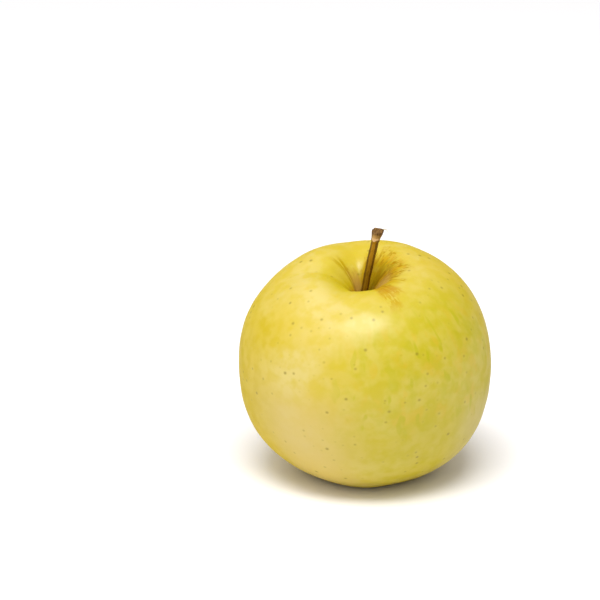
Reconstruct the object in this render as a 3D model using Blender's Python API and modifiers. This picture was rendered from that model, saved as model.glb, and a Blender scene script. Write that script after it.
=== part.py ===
"""A whole yellow dessert apple: the fruit, its woody stalk and the dried calyx at its eye.

The fruit is a turned body with a bowl at the stalk end and a basin at the eye. Five soft ribs run down
it and end in five low bumps round the eye, which are the feet it stands on. Its core isn't straight, so
the stalk end leans to the front and a little to the left. Metres, +Z up, with the origin on the floor
under the middle of the fruit. The front is -Y.
"""

import math

import bmesh
import bpy
import numpy as np
from mathutils import Vector

# Body: the turned form before ribs and lean, with its widest level at height 0
WIDEST_RADIUS = 0.0372
UPPER_HEIGHT = 0.0364
LOWER_HEIGHT = 0.0344
UPPER_ROUNDING = (0.865, 0.92)  # powers of the cosine and the sine: 1 and 1 is an ellipse, less is squarer
LOWER_ROUNDING = (0.945, 0.867)
TAPER = 0.044  # how much wider the shoulders are than the base, as a share of the radius

# Bowl round the stalk, with a narrow throat at its bottom
BOWL_DEPTH = 0.0130
BOWL_RADIUS = 0.0080
BOWL_POWER = 1.35
THROAT_DEPTH = 0.0040
THROAT_RADIUS = 0.0026
THROAT_POWER = 1.6

# Basin round the eye
BASIN_DEPTH = 0.0110
BASIN_RADIUS = 0.0095

# Five ribs: they swell the sides, fold the shoulders and end in the bumps of the base
RIBS = 5
RIB_TURN = math.radians(-98)
RIB_SWELL = 0.009
SIDE_SHARE = 0.5  # share of the swell that the ribs have at the widest level
BASE_SHARE = 1.5  # what the base adds to it
SWELL_POWER = 1.5
SHOULDER_FOLD = 0.0009
SHOULDER_RADIUS = 0.015
SHOULDER_SPREAD = 0.009
FOLD_TURN = math.radians(-82)  # the folds lie a little round from the ribs, which twist on their way up
FOLD_SIDE = math.radians(170)  # the side where the folds are deepest
FOLD_UNEVEN = 0.5
FOLD_SOFTNESS = 0.03
FOLD_MEAN = 0.62
BUMP_HEIGHT = 0.0008
BUMP_RADIUS = 0.0125
BUMP_SPREAD = 0.0056

# One shoulder stands a little higher than the other
HIGH_SHOULDER = 0.024  # rise for each metre out from the core
HIGH_SHOULDER_TURN = math.radians(10)

# Lean of the core, from none at the base to all of it at the stalk end
LEAN_TO_FRONT = math.radians(12.8)
LEAN_TO_LEFT = math.radians(2.5)

# Sway of the core: how far to the right of the widest level the bottom of the fruit has grown
BASE_SWAY = 0.0009

# Flat spots worn by standing: this much of each bump is taken off
FOOT_CUT = 0.00035

# Stalk: its line before the lean, from the root in the flesh to the knob, and its thickness
STALK_ROOT = 0.0040
STALK_RISE = 0.0265
STALK_ROOT_SIDE = -0.0014  # the root stands a little left of the middle of the throat
STALK_TIP = (0.0050, 0.0010)
STALK_BEND = (-0.0003, 0.0004)
STALK_RADIUS = 0.00097
STALK_SWELL = 0.00012
ROOT_SHARE = 0.25  # the lowest quarter of the stalk swells towards the root
SOCKET_SHARE = 0.4  # how much of the stalk's line the hole in the flesh follows
KNOB_RADIUS = 0.00168
KNOB_POWER = 1.5  # above 1, the knob flares late
KNOB_LENGTH = 0.0033
STALK_RINGS = 26
STALK_BEVEL_STEPS = 3

# Calyx: a button in the eye with five dried sepals round it
BUTTON_RADIUS = 0.0021
BUTTON_ABOVE = 0.0019  # how far the button reaches up into the flesh
BUTTON_BELOW = 0.0015
SEPALS = 5
SEPAL_LENGTH = 0.0064
SEPAL_WIDTH = 0.0031
SEPAL_THICKNESS = 0.0008
SEPAL_RING_RADIUS = 0.0016
SEPAL_DROP = 0.0008  # from the middle of the basin's floor down to the sepals' roots
SEPAL_SPLAY = math.radians(31)
SEPAL_CURL = 0.0011
SEPAL_TAPER = 0.75  # how much narrower the tip is than the root, as a share of the width

# Gap that separate pieces keep where they meet
FIT_GAP = 0.0003

# Mesh density
ROWS = 46
AROUND = 90
MERGE_DISTANCE = 0.00001
PLUG_SIDES = 20
SEPAL_SIDES = 10
SEPAL_ROWS = 9
ROW_CROWDING = 0.6  # share of the rows that crowd towards the two ends, where the form turns fastest

COLOURS = {
    "skin": (0.830, 0.650, 0.140, 1.0),
    "bark": (0.230, 0.120, 0.030, 1.0),
    "dried_sepal": (0.170, 0.110, 0.050, 1.0),
}
ROUGHNESS = {"skin": 0.38, "bark": 0.75, "dried_sepal": 0.85}


def clear_scene():
    for obj in list(bpy.data.objects):
        bpy.data.objects.remove(obj, do_unlink=True)


def new_collection(name):
    collection = bpy.data.collections.new(name)
    bpy.context.scene.collection.children.link(collection)
    return collection


def new_material(name):
    material = bpy.data.materials.new(name)
    material.use_nodes = True
    shader = material.node_tree.nodes["Principled BSDF"]
    shader.inputs["Base Color"].default_value = COLOURS[name]
    shader.inputs["Roughness"].default_value = ROUGHNESS[name]
    shader.inputs["Metallic"].default_value = 0.0
    return material


def add_object(name, data, collection, material=None):
    obj = bpy.data.objects.new(name, data)
    collection.objects.link(obj)
    if material is not None:
        data.materials.append(material)
    return obj


def applied_mesh(obj, name):
    """The object's evaluated mesh as a new mesh in world space, with its doubles merged. The object goes."""
    bpy.context.view_layer.update()
    graph = bpy.context.evaluated_depsgraph_get()
    mesh = bpy.data.meshes.new_from_object(obj.evaluated_get(graph))
    mesh.name = name
    mesh.transform(obj.matrix_world)
    merged = bmesh.new()
    merged.from_mesh(mesh)
    bmesh.ops.remove_doubles(merged, verts=merged.verts, dist=MERGE_DISTANCE)
    bmesh.ops.recalc_face_normals(merged, faces=merged.faces)
    merged.to_mesh(mesh)
    merged.free()
    bpy.data.objects.remove(obj, do_unlink=True)
    return mesh


def move_vertices(mesh, move):
    """Puts every vertex where the function of the three coordinate arrays says."""
    points = np.empty(len(mesh.vertices) * 3, np.float32)
    mesh.vertices.foreach_get("co", points)
    x, y, z = points.reshape(-1, 3).T.astype(float)
    moved = np.stack(move(x, y, z), axis=1)
    mesh.vertices.foreach_set("co", moved.astype(np.float32).ravel())
    mesh.update()


def eased(share):
    """0 to 1 with a level start and end."""
    share = np.clip(share, 0, 1)
    return share * share * (3 - 2 * share)


def latitudes(rows):
    """Angles from the stalk end to the eye: even steps mixed with a cosine, which crowds both ends."""
    step = np.linspace(0, 1, rows + 1)
    mixed = (1 - ROW_CROWDING) * (1 - 2 * step) + ROW_CROWDING * np.cos(math.pi * step)
    return mixed * math.pi / 2


def turned_profile(latitude):
    """Radius and height of the turned body. Two half superellipses meet at the widest level; exponential
    hollows are then pushed in at both ends."""
    cosine, sine = np.cos(latitude), np.sin(latitude)
    upper = sine >= 0
    round_power = np.where(upper, UPPER_ROUNDING[0], LOWER_ROUNDING[0])
    rise_power = np.where(upper, UPPER_ROUNDING[1], LOWER_ROUNDING[1])
    half_height = np.where(upper, UPPER_HEIGHT, LOWER_HEIGHT)
    radius = WIDEST_RADIUS * np.clip(cosine, 0, 1) ** round_power
    height = half_height * np.sign(sine) * np.abs(sine) ** rise_power
    radius = radius * (1 + TAPER * height / UPPER_HEIGHT)
    bowl = BOWL_DEPTH * np.exp(-((radius / BOWL_RADIUS) ** BOWL_POWER))
    throat = THROAT_DEPTH * np.exp(-((radius / THROAT_RADIUS) ** THROAT_POWER))
    basin = BASIN_DEPTH * np.exp(-((radius / BASIN_RADIUS) ** 2))
    return radius, height + np.where(upper, -bowl - throat, basin)


def ribbed(x, y, z):
    """Five ribs: a cosine round the sides that grows towards the base, folds with narrow grooves on the
    shoulders, and a ring of bumps on the base. One shoulder is tilted up, and the base sways sideways."""
    radius, angle = np.hypot(x, y), np.arctan2(y, x)
    upper = z >= 0
    wave = np.cos(RIBS * (angle - RIB_TURN))
    fold = np.sqrt(np.cos(RIBS * (angle - FOLD_TURN) / 2) ** 2 + FOLD_SOFTNESS) - FOLD_MEAN
    fold = fold * (1 - FOLD_UNEVEN + FOLD_UNEVEN * np.cos(angle - FOLD_SIDE))
    shoulder = 2 * SHOULDER_FOLD * fold * np.exp(-(((radius - SHOULDER_RADIUS) / SHOULDER_SPREAD) ** 2))
    tilt = HIGH_SHOULDER * radius * np.cos(angle - HIGH_SHOULDER_TURN) * eased(z / UPPER_HEIGHT)
    bump = BUMP_HEIGHT * (0.5 + 0.5 * wave) * np.exp(-(((radius - BUMP_RADIUS) / BUMP_SPREAD) ** 2))
    depth = np.clip(-z / LOWER_HEIGHT, 0, 1)
    swell = 1 + RIB_SWELL * wave * (SIDE_SHARE + BASE_SHARE * depth**SWELL_POWER)
    return x * swell + BASE_SWAY * depth**2, y * swell, z + tilt + np.where(upper, shoulder, -bump)


def leaning(x, y, z):
    """Turns each level about the middle of the widest one, by an angle that grows from base to top."""
    share = eased((z + LOWER_HEIGHT) / (LOWER_HEIGHT + UPPER_HEIGHT))
    front, left = LEAN_TO_FRONT * share, LEAN_TO_LEFT * share
    y, z = y * np.cos(front) - z * np.sin(front), y * np.sin(front) + z * np.cos(front)
    x, z = x * np.cos(left) - z * np.sin(left), x * np.sin(left) + z * np.cos(left)
    return x, y, z


def fruit_form(x, y, z):
    return leaning(*ribbed(x, y, z))


def turned_body():
    """The profile, from the stalk end down to the eye, turned by a Screw modifier."""
    radius, height = turned_profile(latitudes(ROWS))
    radius[0] = radius[-1] = 0.0
    outline = bpy.data.meshes.new("outline")
    corners = [(r, 0.0, z) for r, z in zip(radius, height)]
    outline.from_pydata(corners, [(i, i + 1) for i in range(ROWS)], [])
    body = add_object("turning", outline, bpy.context.scene.collection)
    screw = body.modifiers.new("turn", "SCREW")
    screw.steps = screw.render_steps = AROUND
    screw.use_merge_vertices = True
    screw.merge_threshold = MERGE_DISTANCE
    return applied_mesh(body, "fruit")


def cut_away(obj, cutter, name):
    cut = obj.modifiers.new(name, "BOOLEAN")
    cut.operation = "DIFFERENCE"
    cut.solver = "EXACT"
    cut.object = cutter
    cutter.hide_render = True
    cutter.display_type = "WIRE"


def stalk_line(count):
    """Points up the middle of the stalk: a slanted line with a slight bow, then the lean of the fruit."""
    _, height = turned_profile(np.array([math.pi / 2]))
    share = np.linspace(0, 1, count)
    bow = np.sin(math.pi * share)
    x = STALK_ROOT_SIDE * (1 - share) + STALK_TIP[0] * share + STALK_BEND[0] * bow
    y = STALK_TIP[1] * share + STALK_BEND[1] * bow
    z = height[0] - STALK_ROOT + (STALK_ROOT + STALK_RISE) * share
    return np.stack(leaning(x, y, z), axis=1)


def stalk_radii(count):
    """Thickness up the stalk: a slight swell at the root, a slim waist and a flared knob at the end."""
    share = np.linspace(0, 1, count)
    length = STALK_ROOT + STALK_RISE
    knob = eased(1 - (1 - share) * length / KNOB_LENGTH) ** KNOB_POWER
    root = np.clip(1 - share / ROOT_SHARE, 0, 1) ** 2
    return STALK_RADIUS + STALK_SWELL * (root + share) + (KNOB_RADIUS - STALK_RADIUS) * knob


def tube(name, points, radii, collection):
    """A round rod along the points, as a curve with a bevel and filled caps."""
    curve = bpy.data.curves.new(name, "CURVE")
    curve.dimensions = "3D"
    curve.bevel_depth = 1.0
    curve.bevel_resolution = STALK_BEVEL_STEPS
    curve.use_fill_caps = True
    spline = curve.splines.new("POLY")
    spline.points.add(len(points) - 1)
    for knot, place, radius in zip(spline.points, points, radii):
        knot.co = (*place, 1.0)
        knot.radius = radius
    return add_object(name, curve, collection)


def make_stalk(collection, material):
    rod = tube("stalk_rod", stalk_line(STALK_RINGS), stalk_radii(STALK_RINGS), collection)
    return add_object("stalk", applied_mesh(rod, "stalk"), collection, material)


def stalk_socket(collection):
    """The hole in the flesh that the root stands in: the stalk's lower part, wider by the gap."""
    line, radii = stalk_line(STALK_RINGS), stalk_radii(STALK_RINGS)
    kept = math.ceil(STALK_RINGS * SOCKET_SHARE)
    line, radii = line[:kept], radii[:kept] + FIT_GAP
    down = Vector(line[0] - line[1]).normalized() * FIT_GAP
    line[0] += np.array(down)
    rod = tube("socket_rod", line, radii, collection)
    return add_object("stalk_socket", applied_mesh(rod, "stalk_socket"), collection)


def eye_place():
    """The middle of the basin's floor, after the sway and the lean."""
    _, height = turned_profile(np.array([-math.pi / 2]))
    return Vector(float(c[0]) for c in fruit_form(np.zeros(1), np.zeros(1), height))


def round_plug(name, radius, below, above, collection):
    """An upright cylinder on the eye, from so far below its place to so far above it."""
    plug = bmesh.new()
    bmesh.ops.create_cone(
        plug, cap_ends=True, segments=PLUG_SIDES, radius1=radius, radius2=radius, depth=below + above
    )
    mesh = bpy.data.meshes.new(name)
    plug.to_mesh(mesh)
    plug.free()
    obj = add_object(name, mesh, collection)
    obj.location = eye_place() + Vector((0, 0, (above - below) / 2))
    return obj


def sepal_mesh():
    """One dried sepal, hanging from its root: a flattened sphere drawn out to a point, its tip curled out."""
    ball = bmesh.new()
    bmesh.ops.create_uvsphere(ball, u_segments=SEPAL_SIDES, v_segments=SEPAL_ROWS, radius=0.5)
    mesh = bpy.data.meshes.new("sepal")
    ball.to_mesh(mesh)
    ball.free()

    def shape(x, y, z):
        along = 0.5 - z
        width = 1 - eased(along) * SEPAL_TAPER
        return x * SEPAL_WIDTH * width, y * SEPAL_THICKNESS - SEPAL_CURL * along**3, -along * SEPAL_LENGTH

    move_vertices(mesh, shape)
    return mesh


def make_calyx(collection, material):
    """Button and sepals joined into one solid by a single union."""
    sepals = new_collection("sepals")
    mesh = sepal_mesh()
    for i in range(SEPALS):
        turn = RIB_TURN + math.pi / RIBS + i * math.tau / SEPALS
        out = Vector((math.cos(turn), math.sin(turn), 0))
        sepal = add_object(f"sepal_{i}", mesh, sepals)
        sepal.rotation_euler = (-SEPAL_SPLAY, 0, turn + math.pi / 2)
        sepal.location = eye_place() + out * SEPAL_RING_RADIUS - Vector((0, 0, SEPAL_DROP))
    button = round_plug("button", BUTTON_RADIUS, BUTTON_BELOW, BUTTON_ABOVE, collection)
    join = button.modifiers.new("join", "BOOLEAN")
    join.operation = "UNION"
    join.solver = "EXACT"
    join.operand_type = "COLLECTION"
    join.collection = sepals
    joined = applied_mesh(button, "calyx")
    for obj in list(sepals.objects):
        bpy.data.objects.remove(obj, do_unlink=True)
    bpy.data.collections.remove(sepals)
    return add_object("calyx", joined, collection, material)


def eye_socket(collection):
    """The hole in the flesh that the button stands in, wider than it by the gap."""
    above = BUTTON_ABOVE + FIT_GAP
    return round_plug("eye_socket", BUTTON_RADIUS + FIT_GAP, above, above, collection)


def floor_block(level, collection):
    """A block whose top face is the floor, for cutting the flat spots of the feet."""
    side = 4 * WIDEST_RADIUS
    block = bmesh.new()
    bmesh.ops.create_cube(block, size=side)
    mesh = bpy.data.meshes.new("floor_block")
    block.to_mesh(mesh)
    block.free()
    obj = add_object("floor_block", mesh, collection)
    obj.location.z = level - side / 2
    return obj


def stand_on_origin(objects, mesh, floor):
    """Moves everything so that the floor is at 0 and the fruit's box is centred over the origin."""
    points = np.empty(len(mesh.vertices) * 3, np.float32)
    mesh.vertices.foreach_get("co", points)
    points = points.reshape(-1, 3)
    middle = (points.min(axis=0) + points.max(axis=0)) / 2
    for obj in objects:
        obj.location -= Vector((float(middle[0]), float(middle[1]), floor))


def main():
    clear_scene()
    parts, cutters = new_collection("whole_apple"), new_collection("cutters")
    body = turned_body()
    move_vertices(body, fruit_form)
    body.shade_smooth()
    fruit = add_object("fruit", body, parts, new_material("skin"))
    floor = min(v.co.z for v in body.vertices) + FOOT_CUT
    stalk = make_stalk(parts, new_material("bark"))
    calyx = make_calyx(parts, new_material("dried_sepal"))
    helpers = [floor_block(floor, cutters), stalk_socket(cutters), eye_socket(cutters)]
    for cutter in helpers:
        cut_away(fruit, cutter, cutter.name)
    stand_on_origin([fruit, stalk, calyx, *helpers], body, floor)
    stalk.data.shade_smooth()
    calyx.data.shade_smooth()


main()
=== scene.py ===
"""The looks of one whole yellow apple: its skin, its stalk and the dried calyx at its eye."""

import math

import bpy
import numpy as np
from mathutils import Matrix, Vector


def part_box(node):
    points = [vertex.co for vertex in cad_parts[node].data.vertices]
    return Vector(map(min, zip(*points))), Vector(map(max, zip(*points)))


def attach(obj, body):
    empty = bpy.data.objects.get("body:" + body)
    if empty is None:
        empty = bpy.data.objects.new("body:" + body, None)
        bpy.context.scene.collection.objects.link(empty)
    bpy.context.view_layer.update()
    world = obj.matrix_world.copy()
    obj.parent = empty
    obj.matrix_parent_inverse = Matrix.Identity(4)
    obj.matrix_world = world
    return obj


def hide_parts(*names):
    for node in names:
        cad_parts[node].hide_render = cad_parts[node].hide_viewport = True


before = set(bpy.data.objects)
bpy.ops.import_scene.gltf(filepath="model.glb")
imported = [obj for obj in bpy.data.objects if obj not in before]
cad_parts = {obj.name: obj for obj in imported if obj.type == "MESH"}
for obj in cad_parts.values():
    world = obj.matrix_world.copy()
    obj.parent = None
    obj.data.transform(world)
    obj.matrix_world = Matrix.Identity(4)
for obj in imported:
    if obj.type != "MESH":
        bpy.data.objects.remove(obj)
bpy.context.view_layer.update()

# Colours are shown as they are, with no film curve, so that the yellows keep their hue.
bpy.context.scene.view_settings.view_transform = "Standard"


# The skin.
# The waxy skin of one whole fruit: a turned form with a bowl at the stalk end, a basin at the eye and
# five soft ribs. Its core isn't straight, so the stalk end leans to the front and a little to the left.
WIDEST_RADIUS = 0.0372
UPPER_HEIGHT = 0.0364
LOWER_HEIGHT = 0.0344
UPPER_ROUNDING = (0.865, 0.92)
LOWER_ROUNDING = (0.945, 0.867)
TAPER = 0.044
BOWL_DEPTH, BOWL_RADIUS, BOWL_POWER = 0.0130, 0.0080, 1.35
THROAT_DEPTH, THROAT_RADIUS, THROAT_POWER = 0.0040, 0.0026, 1.6
BASIN_DEPTH, BASIN_RADIUS = 0.0110, 0.0095
RIBS = 5
RIB_TURN = math.radians(-98)
RIB_SWELL, SIDE_SHARE, BASE_SHARE, SWELL_POWER = 0.009, 0.5, 1.5, 1.5
SHOULDER_FOLD, SHOULDER_RADIUS, SHOULDER_SPREAD = 0.0009, 0.015, 0.009
FOLD_TURN, FOLD_SIDE, FOLD_UNEVEN = math.radians(-82), math.radians(170), 0.5
FOLD_SOFTNESS, FOLD_MEAN = 0.03, 0.62
BUMP_HEIGHT, BUMP_RADIUS, BUMP_SPREAD = 0.0008, 0.0125, 0.0056
HIGH_SHOULDER, HIGH_SHOULDER_TURN = 0.024, math.radians(10)
LEAN_TO_FRONT, LEAN_TO_LEFT = math.radians(12.8), math.radians(2.5)
BASE_SWAY = 0.0009
FOOT_CUT = 0.00035
SKIN_ROWS, SKIN_AROUND, ROW_CROWDING = 280, 330, 0.6


def eased(share):
    """0 to 1 with a level start and end: three shares squared less two shares cubed."""
    share = np.clip(share, 0, 1)
    return share * share * (3 - 2 * share)


def bell(value, spread):
    """1 at nought, fading with the exponential of the value over the spread, squared."""
    return np.exp(-((value / spread) ** 2))


def turned(latitude):
    """Radius and height of the turned form. The radius is a power of the cosine of the latitude and the
    height a power of its sine, which makes two half superellipses, and the radius grows a little with the
    height. Hollows that fade with the exponential of the radius are pushed in at both ends."""
    cosine, sine = np.cos(latitude), np.sin(latitude)
    upper = sine >= 0
    round_power = np.where(upper, UPPER_ROUNDING[0], LOWER_ROUNDING[0])
    rise_power = np.where(upper, UPPER_ROUNDING[1], LOWER_ROUNDING[1])
    radius = WIDEST_RADIUS * np.clip(cosine, 0, 1) ** round_power
    height = np.where(upper, UPPER_HEIGHT, LOWER_HEIGHT) * np.sign(sine) * np.abs(sine) ** rise_power
    radius = radius * (1 + TAPER * height / UPPER_HEIGHT)
    bowl = BOWL_DEPTH * np.exp(-((radius / BOWL_RADIUS) ** BOWL_POWER))
    throat = THROAT_DEPTH * np.exp(-((radius / THROAT_RADIUS) ** THROAT_POWER))
    return radius, height + np.where(upper, -bowl - throat, BASIN_DEPTH * bell(radius, BASIN_RADIUS))


def ribbed(x, y, z):
    """Five ribs: a cosine of five times the angle swells the sides, more so towards the base. The shoulders
    fold by the cosine of half that angle without its sign, softened at nought, so that the grooves are
    narrow and the ribs broad. Bumps with a bell-shaped section stand round the eye, one shoulder is tilted
    up, and the base sways to the right with the square of its depth."""
    radius, angle = np.hypot(x, y), np.arctan2(y, x)
    upper = z >= 0
    wave = np.cos(RIBS * (angle - RIB_TURN))
    fold = np.sqrt(np.cos(RIBS * (angle - FOLD_TURN) / 2) ** 2 + FOLD_SOFTNESS) - FOLD_MEAN
    fold = fold * (1 - FOLD_UNEVEN + FOLD_UNEVEN * np.cos(angle - FOLD_SIDE))
    shoulder = 2 * SHOULDER_FOLD * fold * bell(radius - SHOULDER_RADIUS, SHOULDER_SPREAD)
    tilt = HIGH_SHOULDER * radius * np.cos(angle - HIGH_SHOULDER_TURN) * eased(z / UPPER_HEIGHT)
    bump = BUMP_HEIGHT * (0.5 + 0.5 * wave) * bell(radius - BUMP_RADIUS, BUMP_SPREAD)
    depth = np.clip(-z / LOWER_HEIGHT, 0, 1)
    swell = 1 + RIB_SWELL * wave * (SIDE_SHARE + BASE_SHARE * depth**SWELL_POWER)
    return x * swell + BASE_SWAY * depth**2, y * swell, z + tilt + np.where(upper, shoulder, -bump)


def leaning(x, y, z):
    """Turns each level about the middle of the widest one, by an angle that eases in from base to top."""
    share = eased((z + LOWER_HEIGHT) / (LOWER_HEIGHT + UPPER_HEIGHT))
    front, left = LEAN_TO_FRONT * share, LEAN_TO_LEFT * share
    y, z = y * np.cos(front) - z * np.sin(front), y * np.sin(front) + z * np.cos(front)
    x, z = x * np.cos(left) - z * np.sin(left), x * np.sin(left) + z * np.cos(left)
    return np.stack([x, y, z], axis=-1)


def waves(points, length, count, seed):
    """Smooth unevenness from about -1 to 1: the mean of sine waves of one length in random directions,
    times half the root of twice their number."""
    draw = np.random.default_rng(seed)
    ways = draw.normal(size=(count, 3))
    ways *= math.tau / length / np.linalg.norm(ways, axis=1, keepdims=True)
    phases = draw.uniform(0, math.tau, count)
    total = np.zeros(points.shape[:-1])
    for way, phase in zip(ways, phases):
        total += np.sin(points @ way + phase)
    return total * math.sqrt(2 / count) / 2


def closed_surfaces(name, rings, first_poles, last_poles, material):
    """One mesh of several like surfaces, each a grid of rings closed by a pole at both ends. The arrays'
    first axis counts the surfaces. Seen from outside its first pole, each ring turns anticlockwise."""
    copies, count, around = rings.shape[:3]
    points = np.concatenate([first_poles[:, None], rings.reshape(copies, -1, 3), last_poles[:, None]], axis=1)
    ring = 1 + np.arange(count * around).reshape(count, around)
    beside = np.roll(ring, -1, axis=1)
    quads = np.stack([ring[:-1], ring[1:], beside[1:], beside[:-1]], axis=-1).reshape(-1, 4)
    top = np.stack([np.zeros(around, int), ring[0], beside[0]], axis=-1)
    bottom = np.stack([ring[-1], np.full(around, count * around + 1), beside[-1]], axis=-1)
    shift = (np.arange(copies) * (count * around + 2))[:, None, None]
    quads = (quads + shift).reshape(-1, 4)
    ends = (np.concatenate([top, bottom]) + shift).reshape(-1, 3)
    mesh = bpy.data.meshes.new(name)
    mesh.from_pydata(points.reshape(-1, 3), [], quads.tolist() + ends.tolist())
    mesh.shade_smooth()
    mesh.materials.append(material)
    piece = bpy.data.objects.new(name, mesh)
    bpy.context.scene.collection.objects.link(piece)
    return piece


def pole_to_pole(first_pole, grid, last_pole):
    """Values for every vertex of such a mesh of one surface, in its order."""
    return np.concatenate([np.reshape(part, (-1, 3)) for part in (first_pole, grid, last_pole)])


def keep_attribute(piece, name, values):
    """Stores one vector for each vertex, in the order of the mesh, for the material to read."""
    layer = piece.data.attributes.new(name, "FLOAT_VECTOR", "POINT")
    layer.data.foreach_set("vector", values.astype(np.float32).ravel())


def skin_latitudes():
    """Angles from the stalk end to the eye, with the poles left out. Even steps are mixed with a cosine,
    which crowds the rows into the bowl and the basin."""
    step = np.linspace(0, 1, SKIN_ROWS + 2)[1:-1]
    crowded = ROW_CROWDING * np.cos(math.pi * step)
    return ((1 - ROW_CROWDING) * (1 - 2 * step) + crowded) * math.pi / 2


def skin_points(latitude, angle):
    """The skin over a grid of latitudes and angles, before the lean, as upright points."""
    radius, height = turned(latitude)
    x, y = radius * np.cos(angle), radius * np.sin(angle)
    return np.stack(ribbed(x, y, height), axis=-1)


# Relief of the skin: the height of each kind of dent or wrinkle, the length of its waves and their number.
BROAD_DENTS, BROAD_LENGTH, BROAD_WAVES = 0.00016, 0.021, 7
FINE_DENTS, FINE_LENGTH, FINE_WAVES = 0.00003, 0.0065, 9
WRINKLES, WRINKLE_LENGTH, WRINKLE_WAVES = 0.00010, 0.42, 12
WRINKLE_RADIUS, WRINKLE_START, WRINKLE_DRIFT = 0.0085, 0.003, 25
DENT_START = 0.012


def skin_relief(upright):
    """How far the skin stands out of the smooth form: broad dents, finer ones, and wrinkles that run out
    of the bowl, which are waves read along a direction instead of a place."""
    radius = np.hypot(upright[..., 0], upright[..., 1])
    way = upright[..., :2] / np.maximum(radius, 1e-6)[..., None]
    spoke = np.concatenate([way, radius[..., None] * WRINKLE_DRIFT], axis=-1)
    high = upright[..., 2] > 0
    near_stalk = bell(radius, WRINKLE_RADIUS) * eased(radius / WRINKLE_START) * high
    broad = BROAD_DENTS * waves(upright, BROAD_LENGTH, BROAD_WAVES, 3)
    fine = FINE_DENTS * waves(upright, FINE_LENGTH, FINE_WAVES, 4)
    wrinkled = WRINKLES * near_stalk * waves(spoke, WRINKLE_LENGTH, WRINKLE_WAVES, 5)
    return (broad + fine) * eased(radius / DENT_START) + wrinkled


def skin_normals(points):
    """Outward normals of a closed grid: the cross product of the steps down and around it."""
    around = np.roll(points, -1, axis=1) - np.roll(points, 1, axis=1)
    down = np.gradient(points, axis=0)
    normals = np.cross(down, around)
    return normals / np.maximum(np.linalg.norm(normals, axis=-1, keepdims=True), 1e-12)


latitude, angle = np.meshgrid(
    skin_latitudes(), np.arange(SKIN_AROUND) * math.tau / SKIN_AROUND, indexing="ij"
)
upright = skin_points(latitude, angle)
leaned = leaning(*np.moveaxis(upright, -1, 0))
leaned = leaned + skin_normals(leaned) * skin_relief(upright)[..., None]
low, high = (np.array(corner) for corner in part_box("fruit"))
grid_low, grid_high = leaned.reshape(-1, 3).min(axis=0), leaned.reshape(-1, 3).max(axis=0)
CORE = (low + high) / 2 - (grid_low + grid_high) / 2
CORE[2] = -grid_low[2] - FOOT_CUT


def stood(points):
    """Moves points of the leaned form to where the fruit stands. What would be under the floor is flat."""
    moved = points + CORE
    moved[..., 2] = np.maximum(moved[..., 2], 0)
    return moved


def pole(latitude_end):
    """The grid's closing point at one end, upright and in place."""
    _, height = turned(np.array([latitude_end]))
    spot = np.array(ribbed(0.0, 0.0, height[0]))
    return spot, stood(leaning(*spot))


stalk_pole, stalk_pole_stood = pole(math.pi / 2)
eye_pole, eye_pole_stood = pole(-math.pi / 2)


def node(tree, kind, inputs, **settings):
    """A shader node with its settings. Each named input gets a value, or is joined to another socket."""
    made = tree.nodes.new("ShaderNode" + kind)
    for name, value in settings.items():
        setattr(made, name, value)
    for name, value in inputs.items():
        if isinstance(value, bpy.types.NodeSocket):
            tree.links.new(value, made.inputs[name])
        else:
            made.inputs[name].default_value = value
    return made


def figure(tree, operation, first, second=0.0, third=0.0):
    """One sum on up to three numbers."""
    return node(tree, "Math", {0: first, 1: second, 2: third}, operation=operation).outputs[0]


def times(tree, *values):
    """The product of several numbers."""
    product = values[0]
    for value in values[1:]:
        product = figure(tree, "MULTIPLY", product, value)
    return product


def vector_sum(tree, operation, first, second=(0, 0, 0)):
    """One sum on vectors, component by component."""
    return node(tree, "VectorMath", {0: first, 1: second}, operation=operation).outputs[0]


def ramped(tree, value, start, end, low=0.0, high=1.0):
    """Eases from low to high as the value goes from start to end."""
    inputs = {"Value": value, "From Min": start, "From Max": end, "To Min": low, "To Max": high}
    return node(tree, "MapRange", inputs, interpolation_type="SMOOTHSTEP").outputs[0]


def blended(tree, share, first, second):
    """A colour between two others."""
    mix = node(tree, "Mix", {"Factor": share}, data_type="RGBA")
    for socket, colour in ((mix.inputs[6], first), (mix.inputs[7], second)):
        if isinstance(colour, bpy.types.NodeSocket):
            tree.links.new(colour, socket)
        else:
            socket.default_value = (*colour, 1)
    return mix.outputs[2]


def noise(tree, vector, scale, detail=2.0, roughness=0.5):
    """Cloudy unevenness, mostly from 0.3 to 0.7."""
    inputs = {"Vector": vector, "Scale": scale, "Detail": detail, "Roughness": roughness}
    return node(tree, "TexNoise", inputs).outputs[0]


def compass(tree):
    """The skin's own directions: its distance from the core, its height, and the way out from the core,
    as a flat vector of length 1. All are read from the upright form, before the lean."""
    place = node(tree, "Attribute", {}, attribute_name="upright").outputs["Vector"]
    flat = vector_sum(tree, "MULTIPLY", place, (1, 1, 0))
    radius = node(tree, "VectorMath", {0: flat}, operation="LENGTH").outputs["Value"]
    way = vector_sum(tree, "NORMALIZE", flat)
    height = node(tree, "SeparateXYZ", {0: place}).outputs["Z"]
    return place, radius, way, height


def facing(tree, way, side, edge, middle):
    """1 where the way out points to that side, easing to 0 past its edge, given as cosines."""
    aim = (math.cos(side), math.sin(side), 0)
    dot = node(tree, "VectorMath", {0: way, 1: aim}, operation="DOT_PRODUCT").outputs["Value"]
    return ramped(tree, dot, edge, middle)


def drawn_noise(tree, way, along, across, length, detail=2.0, roughness=0.5):
    """Noise that is drawn out: it reads the way out, times one scale, beside a length times another."""
    spread = node(tree, "VectorMath", {0: way, "Scale": across}, operation="SCALE").outputs[0]
    rise = node(tree, "CombineXYZ", {"Z": times(tree, along, length)}).outputs[0]
    return noise(tree, vector_sum(tree, "ADD", spread, rise), 1.0, detail, roughness)


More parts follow.
